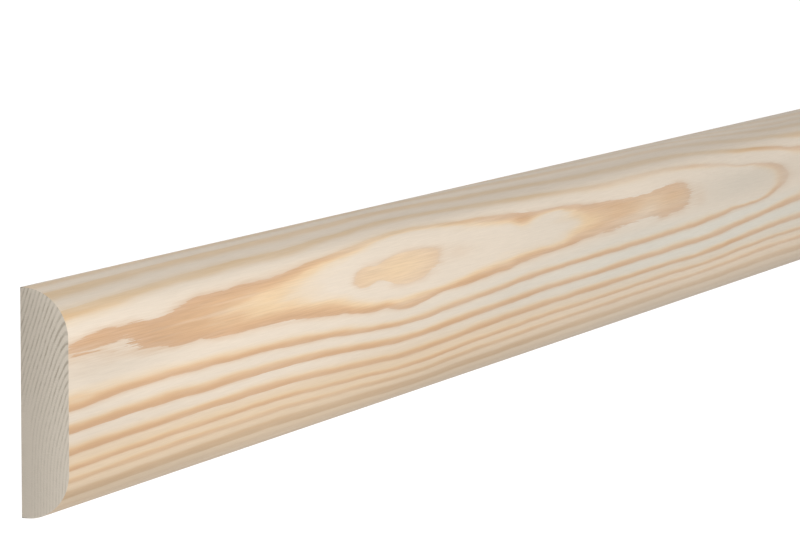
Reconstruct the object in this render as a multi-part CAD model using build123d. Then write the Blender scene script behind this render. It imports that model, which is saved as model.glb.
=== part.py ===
from build123d import *

import os

# Cover strip of planed pine: one straight length with a flat back, a flat face
# and two rounded long edges, cut square at both ends.
#
# Millimetres. X runs along the strip, Y across its width and +Z out of its face.
# The origin is the middle of the flat back, which the strip lies on.

# Driving dimensions
strip_length = 2200.0  # a length that such strips are sold in
strip_width = 42.0  # across both rounded edges
strip_thickness = 10.0  # from the flat back to the flat face
edge_flat = 1.0  # straight stretch of each long edge, between the back and its round

# What is left of the thickness above the straight stretch is one quarter round,
# so each round starts square to the back and runs out level with the face.
round_radius = strip_thickness - edge_flat
half_width = strip_width / 2
face_half_width = half_width - round_radius


def strip_section():
    """The planed section: back, straight stretch, round, face, and the same mirrored."""
    with BuildSketch(Plane.YZ) as section:
        with BuildLine():
            Line((0, 0), (half_width, 0))
            Line((half_width, 0), (half_width, edge_flat))
            CenterArc((face_half_width, edge_flat), round_radius, 0, 90)
            Line((face_half_width, strip_thickness), (0, strip_thickness))
            mirror(about=Plane.YZ)
        make_face()
    return section.sketch


def cover_strip():
    """The section run out to both square-cut ends."""
    return extrude(strip_section(), amount=strip_length / 2, both=True)


def main():
    os.makedirs("parts", exist_ok=True)
    export_step(cover_strip(), "parts/cover_strip.step")


main()
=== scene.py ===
import math

import bmesh
import bpy
from mathutils import Euler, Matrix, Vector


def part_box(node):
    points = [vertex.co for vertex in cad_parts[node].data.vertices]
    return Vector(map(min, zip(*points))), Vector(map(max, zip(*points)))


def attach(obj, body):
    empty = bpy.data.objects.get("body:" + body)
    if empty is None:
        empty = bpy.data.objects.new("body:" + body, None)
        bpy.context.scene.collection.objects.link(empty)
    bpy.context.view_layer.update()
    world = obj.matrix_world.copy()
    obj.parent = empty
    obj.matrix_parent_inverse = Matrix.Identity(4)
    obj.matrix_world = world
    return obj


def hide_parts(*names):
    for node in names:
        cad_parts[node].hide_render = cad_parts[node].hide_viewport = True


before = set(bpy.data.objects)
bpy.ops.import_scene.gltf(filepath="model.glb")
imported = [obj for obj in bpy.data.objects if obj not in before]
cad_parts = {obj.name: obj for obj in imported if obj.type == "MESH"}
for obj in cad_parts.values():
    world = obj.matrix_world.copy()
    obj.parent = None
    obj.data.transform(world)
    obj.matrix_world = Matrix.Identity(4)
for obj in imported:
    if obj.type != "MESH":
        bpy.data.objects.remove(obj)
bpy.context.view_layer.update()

mm = 0.001

# the strip's section and mesh; what isn't here comes from the CAD box
strip = {
    "edgeFlat": 1.0 * mm,        # straight stretch between the back and each round
    "roundSteps": 20,            # faces round each long edge
    "faceSteps": 16,             # faces across the flat face
    "lengthSteps": 66,           # faces along the strip, a multiple of the map's three rows
    "arris": 0.12 * mm,          # how far the sharp corners are eased
    "arrisSteps": 2,             # faces round an eased corner
    "arrisAngle": 60.0,          # corners turning more than this are eased, degrees
    "creaseAngle": 35.0,         # edges turning more than this are shaded hard, degrees
    "facing": 0.75,              # share of X or Z in its normal that makes a face an end or the back
}
stripLow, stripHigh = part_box("cover_strip")
halfLength = (stripHigh.x - stripLow.x) / 2
halfWidth = (stripHigh.y - stripLow.y) / 2
thickness = stripHigh.z - stripLow.z
roundRadius = thickness - strip["edgeFlat"]
halfFace = halfWidth - roundRadius
halfGirth = halfFace + roundRadius * math.pi / 2 + strip["edgeFlat"]


# small helpers for shader nodes

nodeGrid = {"columns": 12, "across": 190, "down": -220}


def addNode(tree, kind, **settings):
    node = tree.nodes.new(kind)
    row, column = divmod(len(tree.nodes), nodeGrid["columns"])
    node.location = (nodeGrid["across"] * column, nodeGrid["down"] * row)
    for name, value in settings.items():
        setattr(node, name, value)
    return node


def feed(tree, socket, value):
    # a value is either another node's output or a plain number, vector or colour
    if isinstance(value, bpy.types.NodeSocket):
        tree.links.new(value, socket)
    else:
        socket.default_value = value


def calc(tree, operation, *values, clamp=False):
    node = addNode(tree, "ShaderNodeMath", operation=operation, use_clamp=clamp)
    for socket, value in zip(node.inputs, values):
        feed(tree, socket, value)
    return node.outputs[0]


def times(tree, *values, clamp=False):
    # the product of all values, held between 0 and 1 at the end if asked
    total = values[0]
    for n, value in enumerate(values[1:], 2):
        total = calc(tree, "MULTIPLY", total, value, clamp=clamp and n == len(values))
    return total


def ramp01(tree, value, low, high, smooth=True):
    # 0 at low, 1 at high
    kind = "SMOOTHSTEP" if smooth else "LINEAR"
    node = addNode(tree, "ShaderNodeMapRange", interpolation_type=kind)
    feed(tree, node.inputs["Value"], value)
    node.inputs["From Min"].default_value = low
    node.inputs["From Max"].default_value = high
    return node.outputs["Result"]


def fadeOut(tree, value, low, high, share):
    # 1 at low, less by the share at high
    return calc(tree, "MULTIPLY_ADD", ramp01(tree, value, low, high), -share, 1.0)


def mixValue(tree, factor, a, b):
    node = addNode(tree, "ShaderNodeMix", data_type="FLOAT")
    for socket, value in zip((node.inputs[0], node.inputs[2], node.inputs[3]), (factor, a, b)):
        feed(tree, socket, value)
    return node.outputs[0]


def mixColour(tree, factor, a, b, blend="MIX"):
    node = addNode(tree, "ShaderNodeMix", data_type="RGBA", blend_type=blend)
    for socket, value in zip((node.inputs[0], node.inputs[6], node.inputs[7]), (factor, a, b)):
        feed(tree, socket, value)
    return node.outputs[2]


def shadeColour(tree, colour, tone):
    # the colour, lighter above a tone of 1 and darker below it
    grey = addNode(tree, "ShaderNodeCombineColor")
    for socket in grey.inputs[:3]:
        feed(tree, socket, tone)
    return mixColour(tree, 1.0, colour, grey.outputs[0], blend="MULTIPLY")


def noiseAt(tree, along, around, seed, size, detail=2.0, roughness=0.5):
    # noise between about -1 and 1; its size along and around the strip is in mm
    place = addNode(tree, "ShaderNodeCombineXYZ")
    feed(tree, place.inputs[0], calc(tree, "DIVIDE", along, size[0]))
    feed(tree, place.inputs[1], calc(tree, "DIVIDE", around, size[1]))
    place.inputs[2].default_value = seed
    noise = addNode(tree, "ShaderNodeTexNoise", noise_dimensions="3D")
    tree.links.new(place.outputs[0], noise.inputs["Vector"])
    noise.inputs["Scale"].default_value = 1.0
    noise.inputs["Detail"].default_value = detail
    noise.inputs["Roughness"].default_value = roughness
    return calc(tree, "MULTIPLY_ADD", noise.outputs["Fac"], 2.0, -1.0)


def wander(tree, along, around, middle, swing, noise):
    # a value that swings about its middle
    return calc(tree, "MULTIPLY_ADD", noiseAt(tree, along, around, **noise), swing, middle)


def curveOf(tree, source, points, low, high, straight=False):
    # a drawn curve: points are (place, value), values lie between low and high
    first, last = points[0][0], points[-1][0]
    node = addNode(tree, "ShaderNodeFloatCurve")
    feed(tree, node.inputs["Value"], ramp01(tree, source, first, last, smooth=False))
    curve = node.mapping.curves[0]
    while len(curve.points) > 2:
        curve.points.remove(curve.points[1])
    for n, (place, value) in enumerate(points):
        spot = ((place - first) / (last - first), (value - low) / (high - low))
        if n == 0:
            point = curve.points[0]
        elif n == len(points) - 1:
            point = curve.points[len(curve.points) - 1]
        else:
            point = curve.points.new(*spot)
        point.location = spot
    for point in curve.points:
        point.handle_type = "VECTOR" if straight else "AUTO"
    node.mapping.update()
    return calc(tree, "MULTIPLY_ADD", node.outputs[0], high - low, low)


def newGroup(name, inputs, outputs):
    # a node group whose sockets all carry plain values
    group = bpy.data.node_groups.new(name, "ShaderNodeTree")
    for direction, sockets in (("INPUT", inputs), ("OUTPUT", outputs)):
        for socket in sockets:
            group.interface.new_socket(socket, in_out=direction, socket_type="NodeSocketFloat")
    return group, addNode(group, "NodeGroupInput").outputs, addNode(group, "NodeGroupOutput").inputs


def placeGroup(tree, group, **values):
    node = addNode(tree, "ShaderNodeGroup", node_tree=group)
    for name, value in values.items():
        feed(tree, node.inputs[name], value)
    return node.outputs


def newMaterial(name):
    material = bpy.data.materials.new(name)
    material.use_nodes = True
    return material, material.node_tree, material.node_tree.nodes["Principled BSDF"]


def addBump(tree, shader, height, distance, strength):
    bump = addNode(tree, "ShaderNodeBump")
    bump.inputs["Distance"].default_value = distance
    bump.inputs["Strength"].default_value = strength
    feed(tree, bump.inputs["Height"], height)
    feed(tree, shader.inputs["Normal"], bump.outputs[0])


def screenColour(red, green, blue, light=1.0):
    # a colour as a screen shows it under so much light, 0 to 255, as Blender's linear values
    def linear(level):
        share = level / 255
        return (share / 12.92 if share <= 0.04045 else ((share + 0.055) / 1.055) ** 2.4) / light
    return (linear(red), linear(green), linear(blue), 1.0)


def colourRamp(tree, source, stops, light=1.0):
    # stops are (place, colour, how much it covers)
    node = addNode(tree, "ShaderNodeValToRGB")
    elements = node.color_ramp.elements
    while len(elements) > 1:
        elements.remove(elements[0])
    for n, (place, colour, cover) in enumerate(stops):
        element = elements[0] if n == 0 else elements.new(place)
        element.position = place
        element.color = screenColour(*colour, light)[:3] + (cover,)
    feed(tree, node.inputs[0], source)
    return node.outputs["Color"], node.outputs["Alpha"]


# where a point lies on the strip, in mm: along from the near end, around from the face's
# middle over the rounds, as if the skin were unrolled

backTilt = -0.6    # a face whose normal points further down than this belongs to the back


def makeStripPlace():
    group, _, out = newGroup("stripPlace", [], ["Along", "Around", "Back", "Across", "Height"])
    place = addNode(group, "ShaderNodeSeparateXYZ")
    group.links.new(addNode(group, "ShaderNodeTexCoord").outputs["Object"], place.inputs[0])
    along = calc(group, "MULTIPLY_ADD", place.outputs[0], 1 / mm, halfLength / mm)
    across = calc(group, "MULTIPLY", place.outputs[1], 1 / mm)
    height = calc(group, "MULTIPLY", place.outputs[2], 1 / mm)
    side = calc(group, "ABSOLUTE", across)
    flat = calc(group, "MINIMUM", side, halfFace / mm)
    past = calc(group, "MAXIMUM", calc(group, "SUBTRACT", side, halfFace / mm), 0.0)
    above = calc(group, "MAXIMUM", calc(group, "SUBTRACT", height, strip["edgeFlat"] / mm), 0.0)
    below = calc(group, "MAXIMUM", calc(group, "SUBTRACT", strip["edgeFlat"] / mm, height), 0.0)
    turn = calc(group, "ARCTAN2", past, above)
    unrolled = calc(group, "ADD", calc(group, "MULTIPLY_ADD", turn, roundRadius / mm, flat), below)
    front = calc(group, "MULTIPLY", unrolled, calc(group, "SIGN", across))
    facing = addNode(group, "ShaderNodeSeparateXYZ")
    group.links.new(addNode(group, "ShaderNodeNewGeometry").outputs["True Normal"], facing.inputs[0])
    back = calc(group, "LESS_THAN", facing.outputs[2], backTilt)
    # the back is stretched so that its growth rings meet the front's at both corners
    under = calc(group, "MULTIPLY", across, halfGirth / halfWidth)
    feed(group, out["Along"], along)
    feed(group, out["Around"], mixValue(group, back, front, under))
    feed(group, out["Back"], back)
    feed(group, out["Across"], across)
    feed(group, out["Height"], height)
    return group


# growth rings as a saw opens them: circles round a heart that wanders beside and under the
# face, all in mm. A spot is its place along and around, its half length, its half width and
# the change in its middle. A noise has a seed, a size along and around, and its detail
grain = {
    "drawnLength": (410.0, 480.0),   # the grain is drawn up to here, then wanders freely
    "heartSide": [
        (0, 8.8), (25, 9.3), (50, 9.7), (100, 9.6), (120, 9.4), (140, 9.15), (180, 9.0), (220, 8.7),
        (250, 8.5), (290, 8.45), (320, 7.9), (340, 7.45), (365, 7.0), (385, 6.6), (480, 6.4)],
    "heartDepth": [
        (0, 12.0), (25, 11.65), (50, 11.3), (80, 10.9), (100, 10.25), (115, 9.5), (128, 8.6),
        (140, 8.1), (152, 8.4), (165, 9.05), (180, 9.6), (200, 10.3), (220, 10.8), (250, 11.25),
        (290, 11.2), (320, 12.1), (340, 13.5), (355, 14.3), (370, 14.95), (385, 15.3), (480, 15.4)],
    "sideRange": (5.0, 12.0),        # between which that side and depth stay
    "depthRange": (8.0, 16.0),
    # beyond the drawn stretch: the heart's middle place, how far it swings, and with what noise
    "freeSide": (4.0, 11.0, {"seed": 3.7, "size": (420.0, 1.0), "detail": 1.0}),
    "freeDepth": (11.2, 5.5, {"seed": 8.1, "size": (130.0, 1.0), "detail": 2.5}),
    # how tightly rings lie on the -Y side and on the +Y side, at the near end and so far on
    "spreadLength": 355.0,
    "lowerSpread": (0.95, 1.05),
    "upperSpread": (0.96, 1.27),
    "backRise": 100.0,               # how much deeper the back lies in the rings, mm squared
    # waves of the rings, how high and with what noise: everywhere, and where the grain is free
    "waves": [(0.3, {"seed": 1.3, "size": (46.0, 9.0), "detail": 1.5}),
              (0.2, {"seed": 5.9, "size": (13.0, 3.5)})],
    "freeWaves": [(0.8, {"seed": 15.3, "size": (75.0, 7.0)}),
                  (0.3, {"seed": 16.3, "size": (22.0, 2.6)})],
    # spots where the rings are pushed out (+) or in (-)
    "ringSpots": [
        (0, -0.6, 16, 1.8, -0.4), (5, 6.8, 19, 2.0, 0.3), (8, 11.6, 20, 1.7, -0.28),
        (17, 9.0, 7, 1.2, 0.28), (26, 7.3, 5, 1.5, 0.12), (32, 13.0, 8, 1.2, 0.25),
        (46, 14.0, 7, 1.2, -0.1), (50, -4.2, 14, 1.2, -0.12), (77, 14.2, 12, 1.2, 0.2),
        (100, -5.2, 10, 1.0, 0.12), (110, 3.0, 3, 1.2, 0.2), (117.5, 8.9, 5, 2.8, -1.05),
        (130, 1.4, 6, 1.6, 0.5), (130, 6.4, 8, 1.4, 0.25), (131, 13.2, 8, 1.2, 0.25),
        (148, 13.0, 7, 1.4, 0.25), (150, 6.3, 4, 1.2, 0.2), (151, -3.0, 3, 1.2, -0.12),
        (157, 1.0, 7, 1.6, 0.45), (158, 8.5, 5, 3.5, 0.4), (192, 2.6, 4, 1.2, -0.15),
        (212, 13.9, 10, 1.2, 0.25), (218, 9.2, 16, 4.6, -0.7), (268, 12.1, 12, 1.2, 0.22),
        (271, 4.8, 11, 1.5, 0.4), (276, 11.8, 6, 1.3, 0.2), (280, 5.4, 4, 1.6, 0.3),
        (293, 12.4, 7, 1.3, -0.25), (306, 8.5, 5, 5.0, 0.6), (318, 8.5, 10, 4.0, 0.5),
        (357, 6.6, 19, 6.0, -1.7), (362, 15.8, 24, 2.0, -0.3)],
    # single fibres, how far they fray a ring's edge, and how much more where the grain is free
    "fibre": {"seed": 2.2, "size": (9.0, 0.32), "detail": 3.0, "roughness": 0.6},
    "fray": 0.08,
    "freeFray": 0.12,
    "fraySpots": [
        (3, 9.5, 10, 2.5, 0.25), (18, 12.3, 14, 1.0, 0.22), (20, 8.5, 10, 2.2, 0.36),
        (30, 12.8, 8, 0.8, 0.15), (45, 9.5, 25, 4.0, 0.15), (114, 8.5, 5, 2.5, 0.4),
        (154, 9.0, 6, 3.0, 0.5), (262, 5.2, 16, 1.2, 0.3), (280, 8.0, 22, 4.0, 0.32),
        (304, 8.5, 5, 4.5, 0.8)],
    # distance of each ring's sharp outer edge from the heart, and its latewood's share
    "rings": [(4.0, 0.4), (6.8, 0.4), (8.9, 0.45), (11.95, 0.28), (14.65, 0.27), (17.6, 0.34),
              (20.6, 0.34), (22.9, 0.31), (24.8, 0.4), (27.7, 0.5), (29.9, 0.35), (31.8, 0.35),
              (34.0, 0.35), (35.6, 0.35), (37.7, 0.35), (39.5, 0.35), (41.9, 0.35), (44.5, 0.35)],
    "firstRing": -2,                 # number of the first ring in that list
    "lateStart": 0.65,               # where latewood starts in a ring's colours
    "trail": 0.24,                   # how far past a ring's edge its own colour runs on
    "flameBelow": 0.5,               # rings numbered below this make the flames
    # how broad latewood is, how much narrower it gets along the strip (from, to, by), and
    # spots where it is broader (+) or narrower (-)
    "broadness": (1.0, 0.35, {"seed": 7.7, "size": (30.0, 3.0)}),
    "farNarrow": (110.0, 260.0, 0.18),
    "broadSpots": [
        (96, 14.2, 16, 1.6, -0.35), (102, 4.6, 12, 1.5, 0.25), (145, 1.8, 8, 1.5, 0.3),
        (150, 16.5, 36, 2.0, -0.45), (200, 12.9, 4.5, 1.4, 0.95), (225, 4.0, 16, 1.5, -0.2),
        (225, 13.0, 14, 1.5, -0.3), (272, 8.5, 30, 5.0, 0.65), (348, 12.4, 30, 2.4, -0.45),
        (355, 1.8, 25, 1.6, -0.35), (372, 6.8, 8, 4.0, 0.15)],
    # how strong latewood is against the ring number, how it comes and goes from place to place,
    # how it pales along the strip and on the +Y round (from, to, by), and stronger (+) or
    # weaker (-) spots
    "lateStrength": [
        (-2, 0.6), (-1, 0.62), (0, 1.0), (2, 1.0), (3, 0.92), (4, 0.88), (5, 0.78), (6, 0.92),
        (7, 0.3), (8, 0.45), (9, 0.8), (11, 1.0), (15, 0.8)],
    "patchiness": (1.05, 0.35, {"seed": 9.4, "size": (26.0, 1.6)}),
    "farFade": (110.0, 320.0, 0.38),
    "upperFade": (14.5, 19.0, 0.45),
    "toneSpots": [
        (8, 7.4, 12, 2.0, -0.2), (30, 17.5, 50, 1.2, -0.15), (40, 8.0, 12, 0.25, -0.15),
        (48, 9.8, 20, 0.4, -0.3), (60, 11.6, 14, 0.3, -0.15), (70, -13.4, 75, 1.0, -0.2),
        (110, -5.0, 42, 9.0, -0.13), (120, 16.0, 45, 1.5, -0.3), (135, 9.4, 24, 5.0, -0.25),
        (150, 17.5, 60, 3.0, -0.15), (185, 2.5, 50, 2.0, -0.05), (200, 13.6, 6, 1.2, 0.25),
        (205, -2.0, 60, 2.0, -0.15), (205, 14.2, 38, 2.0, -0.2), (255, -0.4, 30, 1.6, 0.08),
        (257, 9.5, 8, 2.5, 0.1), (262, 8.5, 40, 5.0, 0.05), (266, 6.2, 18, 1.5, -0.3),
        (270, 16.0, 60, 1.5, -0.35), (276, 7.4, 7, 2.2, -0.28), (294, 9.5, 8, 2.5, 0.12),
        (305, -6.0, 80, 7.0, 0.2), (325, 0.5, 45, 1.8, 0.08), (330, -7.0, 50, 1.3, 0.12),
        (332, 14.0, 22, 1.5, -0.15), (338, 12.8, 28, 2.2, -0.25), (356, 16.0, 28, 1.4, 0.4),
        (372, -2.0, 14, 2.0, 0.2), (376, 6.5, 12, 4.5, -0.2)],
}


def makeSpot():
    # 1 in the middle of an oval spot, fading smoothly to 0
    group, given, out = newGroup(
        "spot", ["Along", "Around", "Middle Along", "Middle Around", "Half Length", "Half Width"], ["Mask"])
    shares = []
    for place, size in (("Along", "Half Length"), ("Around", "Half Width")):
        away = calc(group, "SUBTRACT", given[place], given["Middle " + place])
        share = calc(group, "DIVIDE", away, given[size])
        shares.append(calc(group, "MULTIPLY", share, share))
    reach = calc(group, "ADD", *shares)
    feed(group, out["Mask"], calc(group, "EXPONENT", calc(group, "MULTIPLY", reach, -1.0)))
    return group


def addSpots(tree, spotGroup, start, along, around, spots):
    # adds each spot's push to a value
    total = start
    for middleAlong, middleAround, halfLong, halfWide, push in spots:
        mask = placeGroup(tree, spotGroup, **{
            "Along": along, "Around": around, "Middle Along": middleAlong, "Middle Around": middleAround,
            "Half Length": halfLong, "Half Width": halfWide})["Mask"]
        total = calc(tree, "MULTIPLY_ADD", mask, push, total)
    return total


def ringCurvePoints():
    # ring number against distance from the heart: slow through earlywood, quick through latewood
    points = []
    for n, (edge, share) in enumerate(grain["rings"]):
        number = grain["firstRing"] + n
        if n > 0:
            lateAt = edge - share * (edge - points[-1][0])
            points.append((lateAt, number - 1 + grain["lateStart"]))
        points.append((edge, number))
    return points


def heartDistance(group, given, free):
    # how far a point is from the heart, before any waves
    along = given["Along"]
    drawnSide = curveOf(group, along, grain["heartSide"], *grain["sideRange"])
    drawnDepth = curveOf(group, along, grain["heartDepth"], *grain["depthRange"])
    side = mixValue(group, free, drawnSide, wander(group, along, 0.0, *grain["freeSide"]))
    depth = mixValue(group, free, drawnDepth, wander(group, along, 0.0, *grain["freeDepth"]))

    aside = calc(group, "SUBTRACT", given["Around"], side)
    further = ramp01(group, along, 0.0, grain["spreadLength"], smooth=False)
    lower = mixValue(group, further, *grain["lowerSpread"])
    upper = mixValue(group, further, *grain["upperSpread"])
    spread = mixValue(group, calc(group, "GREATER_THAN", aside, 0.0), lower, upper)
    aside = calc(group, "MULTIPLY", aside, spread)
    share = calc(group, "DIVIDE", given["Across"], halfWidth / mm)
    bulge = calc(group, "SUBTRACT", 1.0, calc(group, "MULTIPLY", share, share))
    rise = times(group, bulge, given["Back"], grain["backRise"])
    squared = calc(group, "MULTIPLY_ADD", depth, depth, rise)
    return calc(group, "SQRT", calc(group, "MULTIPLY_ADD", aside, aside, squared))


def makeGrowthRings(spotGroup):
    group, given, out = newGroup(
        "growthRings", ["Along", "Around", "Back", "Across"],
        ["Early To Late", "Late Strength", "Fibre", "Flame"])
    along, around = given["Along"], given["Around"]
    free = ramp01(group, along, *grain["drawnLength"])
    radius = heartDistance(group, given, free)
    for height, noise in grain["waves"]:
        radius = wander(group, along, around, radius, height, noise)
    for height, noise in grain["freeWaves"]:
        wave = calc(group, "MULTIPLY", noiseAt(group, along, around, **noise), free)
        radius = calc(group, "MULTIPLY_ADD", wave, height, radius)
    fibre = noiseAt(group, along, around, **grain["fibre"])
    fray = addSpots(group, spotGroup, grain["fray"], along, around, grain["fraySpots"])
    fray = calc(group, "MULTIPLY_ADD", free, grain["freeFray"], fray)
    radius = calc(group, "MULTIPLY_ADD", fibre, fray, radius)
    radius = addSpots(group, spotGroup, radius, along, around, grain["ringSpots"])
    points = ringCurvePoints()
    rings = curveOf(group, radius, points, points[0][1], points[-1][1], straight=True)

    # latewood starts earlier or later from place to place, its outer edge stays sharp
    narrowFrom, narrowTo, narrowBy = grain["farNarrow"]
    broad = wander(group, along, around, *grain["broadness"])
    broad = calc(group, "MULTIPLY_ADD", ramp01(group, along, narrowFrom, narrowTo), -narrowBy, broad)
    broad = addSpots(group, spotGroup, broad, along, around, grain["broadSpots"])
    inRing = calc(group, "FRACT", rings)
    toEdge = calc(group, "DIVIDE", calc(group, "SUBTRACT", 1.0, inRing), broad)
    trail = calc(group, "MINIMUM", inRing, grain["trail"])
    feed(group, out["Early To Late"], calc(group, "MAXIMUM", calc(group, "SUBTRACT", 1.0, toEdge), trail))

    number = calc(group, "FLOOR", rings)
    strength = curveOf(group, number, grain["lateStrength"], 0.0, 1.0, straight=True)
    patchiness = wander(group, along, around, *grain["patchiness"])
    strength = times(group, strength, patchiness, fadeOut(group, along, *grain["farFade"]))
    strength = addSpots(group, spotGroup, strength, along, around, grain["toneSpots"])
    kept = mixValue(group, given["Back"], fadeOut(group, around, *grain["upperFade"]), 1.0)
    feed(group, out["Late Strength"], times(group, strength, kept, clamp=True))
    feed(group, out["Fibre"], fibre)
    feed(group, out["Flame"], calc(group, "LESS_THAN", number, grain["flameBelow"]))
    return group


# planed long faces, in colours as they look on screen
planed = {
    "light": 1.3,                    # how strongly the lamps light this face, for those colours
    "earlyTone": (235, 220, 201),
    "warmTone": (233, 209, 179),     # earlywood between the tight rings of the -Y side
    "warmFrom": (-5.0, -10.5),       # mm round from the middle over which that tone comes in
    "warmFar": (100.0, 300.0, 0.5),  # mm along over which it goes out again, and how much of it
    "coolTone": (228, 221, 207),     # earlywood further on below the flames
    "coolFrom": (4.0, -1.0),         # mm round from the middle over which it comes in
    "coolTo": (-8.0, -12.0, 1.0),    # and goes out
    "coolAlong": (90.0, 300.0),      # mm along over which it comes in
    "coolGone": (400.0, 620.0, 0.6),  # and goes out
    "coolSpots": [(215, 8.5, 20, 4.0, 0.15), (272, 2.5, 40, 2.5, 0.3), (340, 7.5, 34, 5.0, 0.35)],
    # the latewood's colours through a ring, with how much of each covers the early tone
    "lateTones": [
        (0.0, (217, 182, 147), 0.62), (0.06, (219, 186, 152), 0.34), (0.14, (222, 192, 162), 0.1),
        (0.22, (230, 205, 175), 0.0), (0.36, (240, 212, 172), 0.0), (0.5, (238, 209, 167), 0.28),
        (0.6, (234, 200, 157), 0.68), (0.68, (227, 188, 145), 0.88), (0.78, (220, 179, 138), 0.97),
        (0.9, (214, 174, 136), 1.0), (1.0, (214, 175, 140), 0.95)],
    # latewood's other tone on each round, and mm round from the middle over which it comes in
    "roundTones": [((214, 182, 146), (-12.0, -16.0)), ((222, 184, 130), (14.0, 18.0))],
    # the yellow inside of the flames: where in a ring it comes in and goes out, and its share
    "glowTone": (244, 211, 165),
    "glowIn": (0.45, 0.6),
    "glowOut": (0.7, 0.63),
    "glowShare": 0.25,
    "glowSpots": [
        (77, 9.2, 8, 2.4, 0.35), (98, 13.2, 12, 1.0, 0.2), (134, 9.3, 22, 4.6, 0.6),
        (240, 8.0, 7, 2.6, 0.3), (276, 8.8, 32, 3.5, 0.2)],
    "glowOnLate": (0.35, 0.6),       # where in a ring the glow is let through at all
    # hair lines in the flames: their noise, how much of each is pale, how strong they are, and
    # how strong in earlywood against latewood
    "hair": {"seed": 21.0, "size": (13.0, 0.28)},
    "hairEdge": (-0.5, 0.5),
    "hairPale": 0.5,
    "hairBy": 0.12,
    "hairOnLate": (0.4, 0.7),
    "hairShares": (0.2, 1.0),
    # slow clouds, the fine grain and the fibres: how much each changes the tone
    "cloudBy": 0.06,
    "cloud": {"seed": 11.0, "size": (60.0, 7.0), "detail": 3.0},
    "fineBy": 0.08,
    "fine": {"seed": 12.0, "size": (6.0, 0.18), "detail": 3.0, "roughness": 0.7},
    "fibreBy": 0.06,
    # painted light and shade round the section, against mm round from the middle, and painted shade along
    # the strip, against mm along
    "shadeRange": (0.5, 1.2),
    "paintedRoundShade": [(-27, 0.87), (-19, 0.92), (-14, 0.975), (-9, 1.0), (15, 1.04), (19.5, 0.9),
                   (23, 1.02), (27, 1.08)],
    # painted shade along the strip, deepest between 350 and 440 mm and gone by 700 mm
    "paintedLengthShade": [(0, 0.975), (60, 0.975), (110, 0.975), (170, 0.95), (250, 0.94), (350, 0.92),
                    (440, 0.92), (700, 1.0)],
    # spots of paler (+) or darker (-) wood, partly the wood's own tone and partly painted light and shade
    "toneAndPaintedShadeSpots": [
        (0, -6.0, 28, 10.0, -0.1), (10, 6.0, 20, 4.0, -0.1), (15, -17.2, 40, 1.5, -0.06),
        (20, -17.5, 50, 3.0, -0.05), (30, 9.5, 35, 3.5, -0.03), (32, 4.5, 22, 2.2, -0.045),
        (105, 9.0, 20, 4.0, 0.03), (180, 8.0, 35, 5.0, 0.02), (215, 8.5, 25, 4.5, -0.03),
        (270, 2.5, 35, 2.2, -0.03), (320, 24.0, 80, 5.0, 0.05), (335, -5.0, 70, 7.0, 0.06),
        (340, -18.0, 70, 6.0, 0.03), (345, 7.5, 42, 4.5, -0.105)],
    "roughness": (0.62, 0.46),       # earlywood, latewood
    "shine": 0.35,
    "lateRelief": 0.5,               # how high latewood and the fine grain stand, as shares of the bump
    "fineRelief": 0.35,
    "bump": (0.03 * mm, 0.6),        # its height and strength
}


def earlywoodColour(tree, spotGroup, along, around):
    light = planed["light"]
    warm = times(tree, ramp01(tree, around, *planed["warmFrom"]), fadeOut(tree, along, *planed["warmFar"]))
    cool = times(tree, ramp01(tree, around, *planed["coolFrom"]), ramp01(tree, along, *planed["coolAlong"]),
                 fadeOut(tree, around, *planed["coolTo"]))
    cool = addSpots(tree, spotGroup, cool, along, around, planed["coolSpots"])
    cool = times(tree, cool, fadeOut(tree, along, *planed["coolGone"]), clamp=True)
    colour = screenColour(*planed["earlyTone"], light)
    colour = mixColour(tree, cool, colour, screenColour(*planed["coolTone"], light))
    return mixColour(tree, warm, colour, screenColour(*planed["warmTone"], light))


def flameGlow(tree, spotGroup, along, around, late, flame):
    # where the flames turn yellow
    glow = times(tree, ramp01(tree, late, *planed["glowIn"]), ramp01(tree, late, *planed["glowOut"]),
                 planed["glowShare"])
    glow = addSpots(tree, spotGroup, glow, along, around, planed["glowSpots"])
    return times(tree, glow, flame, ramp01(tree, late, *planed["glowOnLate"]), clamp=True)


def woodToneAndPaintedShade(tree, spotGroup, along, around, rings, fine):
    # how light the wood is from place to place, about 1, with painted light and shade on the rounds, painted
    # shade along the strip and painted light and shade in some spots
    late = rings["Early To Late"]
    tone = wander(tree, along, around, 1.0, planed["cloudBy"], planed["cloud"])
    tone = calc(tree, "MULTIPLY_ADD", fine, planed["fineBy"], tone)
    tone = calc(tree, "MULTIPLY_ADD", rings["Fibre"], planed["fibreBy"], tone)
    hair = ramp01(tree, noiseAt(tree, along, around, **planed["hair"]), *planed["hairEdge"])
    hair = calc(tree, "SUBTRACT", hair, planed["hairPale"])
    onLate = mixValue(tree, ramp01(tree, late, *planed["hairOnLate"]), *planed["hairShares"])
    tone = calc(tree, "MULTIPLY_ADD", times(tree, hair, rings["Flame"], onLate), planed["hairBy"], tone)
    # spots of the wood's own tone and of painted light and shade
    tone = addSpots(tree, spotGroup, tone, along, around, planed["toneAndPaintedShadeSpots"])
    # painted light and shade on the rounds, and painted shade along the strip
    paintedRoundShade = curveOf(tree, around, planed["paintedRoundShade"], *planed["shadeRange"])
    paintedLengthShade = curveOf(tree, along, planed["paintedLengthShade"], *planed["shadeRange"])
    return times(tree, tone, paintedRoundShade, paintedLengthShade)


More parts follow.
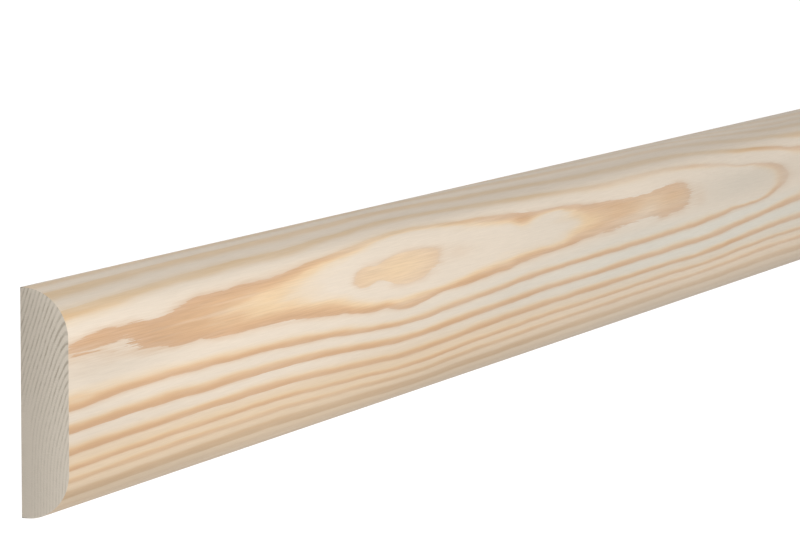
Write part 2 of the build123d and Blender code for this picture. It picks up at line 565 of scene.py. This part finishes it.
def makePlanedPine(placeTree, ringGroup, spotGroup):
    material, tree, shader = newMaterial("planedPine")
    place = placeGroup(tree, placeTree)
    along, around = place["Along"], place["Around"]
    rings = placeGroup(
        tree, ringGroup, Along=along, Around=around, Back=place["Back"], Across=place["Across"])
    late = rings["Early To Late"]
    light = planed["light"]
    early = earlywoodColour(tree, spotGroup, along, around)
    lateColour, cover = colourRamp(tree, late, planed["lateTones"], light)
    for roundTone, comesIn in planed["roundTones"]:
        share = ramp01(tree, around, *comesIn)
        lateColour = mixColour(tree, share, lateColour, screenColour(*roundTone, light))
    colour = mixColour(tree, times(tree, cover, rings["Late Strength"]), early, lateColour)
    glow = flameGlow(tree, spotGroup, along, around, late, rings["Flame"])
    colour = mixColour(tree, glow, colour, screenColour(*planed["glowTone"], light))
    fine = noiseAt(tree, along, around, **planed["fine"])
    tone = woodToneAndPaintedShade(tree, spotGroup, along, around, rings, fine)
    feed(tree, shader.inputs["Base Color"], shadeColour(tree, colour, tone))
    feed(tree, shader.inputs["Roughness"], mixValue(tree, late, *planed["roughness"]))
    shader.inputs["Specular IOR Level"].default_value = planed["shine"]
    relief = calc(tree, "MULTIPLY", fine, planed["fineRelief"])
    relief = calc(tree, "MULTIPLY_ADD", late, planed["lateRelief"], relief)
    addBump(tree, shader, relief, *planed["bump"])
    return material


# sawn ends: thin dark ring lines, upright near -Y and leaning to the face towards +Y, in mm
sawn = {
    "light": 0.905,                  # how strongly the lamps light the near end
    "paper": (189, 180, 167),
    "line": (157, 148, 134),
    "lineSpacing": 0.62,             # from ring line to ring line near the -Y edge
    "lineIn": (0.35, 0.72),          # where in that spacing a line comes in and goes out
    "lineOut": (1.0, 0.82),
    "lean": 0.265,                   # how far the lines lean in the upper part
    "leanFrom": 2.0,                 # how far from the middle that starts, and how softly
    "leanSoft": 30.0,
    "faceBend": (0.055, 9.0, 1.4),   # their extra bend beside the face: how much, at, over
    "waver": (0.12, {"seed": 4.4, "size": (6.0, 2.5)}),
    "firstLevel": 40.0,              # keeps the lines' count above zero
    # lines come and go in patches, get fainter towards -Y and stronger towards the face
    "patch": {"seed": 6.1, "size": (1.6, 0.5)},
    "patchEdge": (-0.5, 0.6),
    "patchShares": (0.25, 1.0),
    "fainter": (14.0, -14.0, 0.6),
    "stronger": (3.0, 9.0, -0.4),
    # a band without lines beside the back, in the half towards -Y: how high, and how far across
    "plainHeight": (2.4, 1.8),
    "plainAcross": (4.0, -3.0),
    "pore": {"seed": 9.2, "size": (0.28, 0.28)},
    "poreBy": 0.035,
    "roughness": 0.85,
    "shine": 0.2,
    "lineRelief": -0.6,
    "bump": (0.04 * mm, 0.6),        # its height and strength
}


def ringLines(tree, across, height):
    # the lines are level sets of a slowly turning slope
    climb = calc(tree, "ADD", calc(tree, "ADD", across, sawn["leanFrom"]), height)
    bend = calc(tree, "SQRT", calc(tree, "MULTIPLY_ADD", climb, climb, sawn["leanSoft"]))
    leaning = calc(tree, "MULTIPLY", calc(tree, "ADD", bend, climb), sawn["lean"] / 2)
    level = calc(tree, "SUBTRACT", height, leaning)
    bendBy, bendAt, bendOver = sawn["faceBend"]
    near = calc(tree, "EXPONENT", calc(tree, "DIVIDE", calc(tree, "SUBTRACT", height, bendAt), bendOver))
    rise = calc(tree, "MAXIMUM", calc(tree, "SUBTRACT", across, sawn["leanFrom"]), 0.0)
    level = calc(tree, "SUBTRACT", level, times(tree, near, rise, bendBy))
    level = wander(tree, across, height, level, *sawn["waver"])
    count = calc(tree, "DIVIDE", calc(tree, "ADD", level, sawn["firstLevel"]), sawn["lineSpacing"])
    inRing = calc(tree, "FRACT", count)
    line = times(tree, ramp01(tree, inRing, *sawn["lineIn"]), ramp01(tree, inRing, *sawn["lineOut"]))

    patch = ramp01(tree, noiseAt(tree, across, level, **sawn["patch"]), *sawn["patchEdge"])
    force = times(tree, mixValue(tree, patch, *sawn["patchShares"]), fadeOut(tree, across, *sawn["fainter"]),
                  fadeOut(tree, height, *sawn["stronger"]))
    plain = times(tree, ramp01(tree, height, *sawn["plainHeight"]),
                  ramp01(tree, across, *sawn["plainAcross"]))
    return times(tree, times(tree, line, force, clamp=True), calc(tree, "SUBTRACT", 1.0, plain))


def makeSawnEnd(placeTree):
    material, tree, shader = newMaterial("sawnEnd")
    place = placeGroup(tree, placeTree)
    across, height = place["Across"], place["Height"]
    dark = ringLines(tree, across, height)
    light = sawn["light"]
    colour = mixColour(tree, dark, screenColour(*sawn["paper"], light), screenColour(*sawn["line"], light))
    pore = noiseAt(tree, across, height, **sawn["pore"])
    tone = calc(tree, "MULTIPLY_ADD", pore, sawn["poreBy"], 1.0)
    feed(tree, shader.inputs["Base Color"], shadeColour(tree, colour, tone))
    shader.inputs["Roughness"].default_value = sawn["roughness"]
    shader.inputs["Specular IOR Level"].default_value = sawn["shine"]
    addBump(tree, shader, calc(tree, "MULTIPLY_ADD", dark, sawn["lineRelief"], pore), *sawn["bump"])
    return material


# the piece itself: the CAD section with eased corners, swept in even steps

def frontOutline():
    # (across, height) from the +Y corner of the back over the face to the -Y corner
    side = [(halfWidth, 0.0)]
    for n in range(strip["roundSteps"] + 1):
        angle = math.pi / 2 * n / strip["roundSteps"]
        rise = strip["edgeFlat"] + roundRadius * math.sin(angle)
        side.append((halfFace + roundRadius * math.cos(angle), rise))
    steps = strip["faceSteps"]
    middle = [(halfFace - 2 * halfFace * n / steps, thickness) for n in range(1, steps)]
    return side + middle + [(-y, z) for y, z in reversed(side)]


def unrolledPlace(y, z):
    past = max(abs(y) - halfFace, 0.0)
    above = max(z - strip["edgeFlat"], 0.0)
    below = max(strip["edgeFlat"] - z, 0.0)
    girth = min(abs(y), halfFace) + roundRadius * math.atan2(past, above) + below
    return math.copysign(girth, y)


# where the skin lies on its flat map, as shares of the map: three rows of a third of the
# length, each with the front above the back, and both ends in the strip that is left
skinMap = {
    "rows": 3,
    "rowHeight": 0.305,
    "frontShare": 0.72,
    "gap": 0.006,
    "endScale": 6.4 / 1024 / mm,     # the ends' size on the map, per metre
    "endLefts": (0.02, 0.32),        # where the near and the far end start
}


def mapSpot(point, facing, middleX):
    gap = skinMap["gap"]
    if abs(facing.x) > strip["facing"]:
        left = skinMap["endLefts"][0 if facing.x < 0 else 1]
        low = skinMap["rows"] * skinMap["rowHeight"] + gap
        return (left + (point.y + halfWidth) * skinMap["endScale"], low + point.z * skinMap["endScale"])
    rowLength = 2 * halfLength / skinMap["rows"]
    row = min(int((middleX + halfLength) / rowLength), skinMap["rows"] - 1)
    u = gap + (1 - 2 * gap) * (point.x + halfLength - row * rowLength) / rowLength
    low = row * skinMap["rowHeight"]
    split = low + skinMap["rowHeight"] * (1 - skinMap["frontShare"])
    if facing.z < -strip["facing"]:
        share = (point.y + halfWidth) / (2 * halfWidth)
        return (u, low + gap + (split - low - 2 * gap) * share)
    share = (unrolledPlace(point.y, point.z) + halfGirth) / (2 * halfGirth)
    top = low + skinMap["rowHeight"]
    return (u, split + gap + (top - split - 2 * gap) * share)


def sweepStrip(mesh):
    front = frontOutline()
    rows = []
    for n in range(strip["lengthSteps"] + 1):
        x = -halfLength + 2 * halfLength * n / strip["lengthSteps"]
        face = [mesh.verts.new((x, y, z)) for y, z in front]
        back = [face[0]] + [mesh.verts.new((x, y, 0.0)) for y, z in front[2:-2]] + [face[-1]]
        rows.append((face, back))
    for (faceA, backA), (faceB, backB) in zip(rows, rows[1:]):
        for a, b in ((faceA, faceB), (backB, backA)):
            for n in range(len(a) - 1):
                mesh.faces.new((a[n], a[n + 1], b[n + 1], b[n]))
    for face, under in (rows[0], rows[-1]):
        # each end is closed by upright slices between the front outline and the back
        over = face[1:-1]
        for n in range(len(over) - 1):
            mesh.faces.new((over[n], under[n], under[n + 1], over[n + 1]))
    bmesh.ops.recalc_face_normals(mesh, faces=mesh.faces)


def makeStrip(planedPine, sawnEnd):
    mesh = bmesh.new()
    sweepStrip(mesh)
    arrisAngle = math.radians(strip["arrisAngle"])
    sharp = [edge for edge in mesh.edges if edge.calc_face_angle(0.0) > arrisAngle]
    bmesh.ops.bevel(
        mesh, geom=sharp, offset=strip["arris"], segments=strip["arrisSteps"], profile=0.5, affect="EDGES")
    uv = mesh.loops.layers.uv.new("OFBake")
    for face in mesh.faces:
        face.smooth = True
        face.material_index = 1 if abs(face.normal.x) > strip["facing"] else 0
        middleX = face.calc_center_median().x
        for loop in face.loops:
            loop[uv].uv = mapSpot(loop.vert.co, face.normal, middleX)
    for edge in mesh.edges:
        edge.smooth = edge.calc_face_angle(0.0) < math.radians(strip["creaseAngle"])
    data = bpy.data.meshes.new("coverStrip")
    mesh.to_mesh(data)
    mesh.free()
    data.materials.append(planedPine)
    data.materials.append(sawnEnd)
    piece = bpy.data.objects.new("cover_strip_planed", data)
    bpy.context.scene.collection.objects.link(piece)
    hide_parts("cover_strip")
    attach(piece, "root")
    return piece


stripPlace = makeStripPlace()
spots = makeSpot()
growthRings = makeGrowthRings(spots)
planedPine = makePlanedPine(stripPlace, growthRings, spots)
sawnEnd = makeSawnEnd(stripPlace)
print("wood materials ready")
stripPiece = makeStrip(planedPine, sawnEnd)
print("strip made with", len(stripPiece.data.polygons), "faces")

# the studio: a white table, light from all round, a soft lamp above the near end and a
# long one over the rest of the strip
studio = {
    "floorSize": 60.0,
    "floorBounce": (0.6, 0.6, 0.6, 1.0),     # what the table throws back onto the strip
    "floorColour": (0.25, 0.25, 0.25, 1.0),  # what the camera sees of the lamps' light on it
    "floorGlow": (0.2, 0.8),                 # its own light: on the strip, and as the camera sees it
    "floorRoughness": 0.9,
    "worldStrength": 0.4,
    "white": (1.0, 1.0, 1.0, 1.0),
    "lamps": {
        "nearLamp": {
            "shape": "ELLIPSE", "place": (-1.36, 0.05, 0.9), "size": (0.6, 0.6), "power": 9.0,
            "mirrored": True},
        "longLamp": {
            "shape": "RECTANGLE", "place": (0.5, 0.05, 0.6), "size": (1.8, 0.5), "power": 7.9,
            "mirrored": False},
    },
}


def makeTable():
    half = studio["floorSize"] / 2
    corners = [(-half, -half, 0), (half, -half, 0), (half, half, 0), (-half, half, 0)]
    data = bpy.data.meshes.new("table")
    data.from_pydata(corners, [], [(0, 1, 2, 3)])
    floor = bpy.data.objects.new("table", data)
    bpy.context.scene.collection.objects.link(floor)
    paint, tree, shader = newMaterial("tablePaint")
    seen = addNode(tree, "ShaderNodeLightPath").outputs["Is Camera Ray"]
    colour = mixColour(tree, seen, studio["floorBounce"], studio["floorColour"])
    feed(tree, shader.inputs["Base Color"], colour)
    shader.inputs["Roughness"].default_value = studio["floorRoughness"]
    shader.inputs["Specular IOR Level"].default_value = 0.0
    shader.inputs["Emission Color"].default_value = studio["white"]
    feed(tree, shader.inputs["Emission Strength"], mixValue(tree, seen, *studio["floorGlow"]))
    data.materials.append(paint)


def makeLight():
    scene = bpy.context.scene
    scene.view_settings.view_transform = "Standard"
    world = bpy.data.worlds.new("studioAir")
    world.use_nodes = True
    background = world.node_tree.nodes["Background"]
    background.inputs["Strength"].default_value = studio["worldStrength"]
    background.inputs["Color"].default_value = studio["white"]
    scene.world = world
    for name, settings in studio["lamps"].items():
        lamp = bpy.data.lights.new(name, "AREA")
        lamp.shape = settings["shape"]
        lamp.size, lamp.size_y = settings["size"]
        lamp.energy = settings["power"]
        lampObject = bpy.data.objects.new(name, lamp)
        lampObject.location = settings["place"]
        lampObject.visible_glossy = settings["mirrored"]
        scene.collection.objects.link(lampObject)


# the camera looks down on the near end, rolled so that the strip's width stands upright
view = {
    "place": (-1.6471, 0.1099, 0.3389),
    "turn": (-8.2775, -64.2293, 0.7931),     # degrees
    "lens": 162.79,
    "sensor": 36.0,
    "reach": (0.05, 100.0),                  # nearest and farthest that it sees, metres
}


def makeCamera():
    camera = bpy.data.cameras.new("camera")
    camera.sensor_width = view["sensor"]
    camera.lens = view["lens"]
    camera.clip_start, camera.clip_end = view["reach"]
    cameraObject = bpy.data.objects.new("camera", camera)
    cameraObject.location = view["place"]
    cameraObject.rotation_euler = Euler([math.radians(angle) for angle in view["turn"]], "XYZ")
    bpy.context.scene.collection.objects.link(cameraObject)
    bpy.context.scene.camera = cameraObject


makeTable()
makeLight()
makeCamera()
print("studio and camera ready")
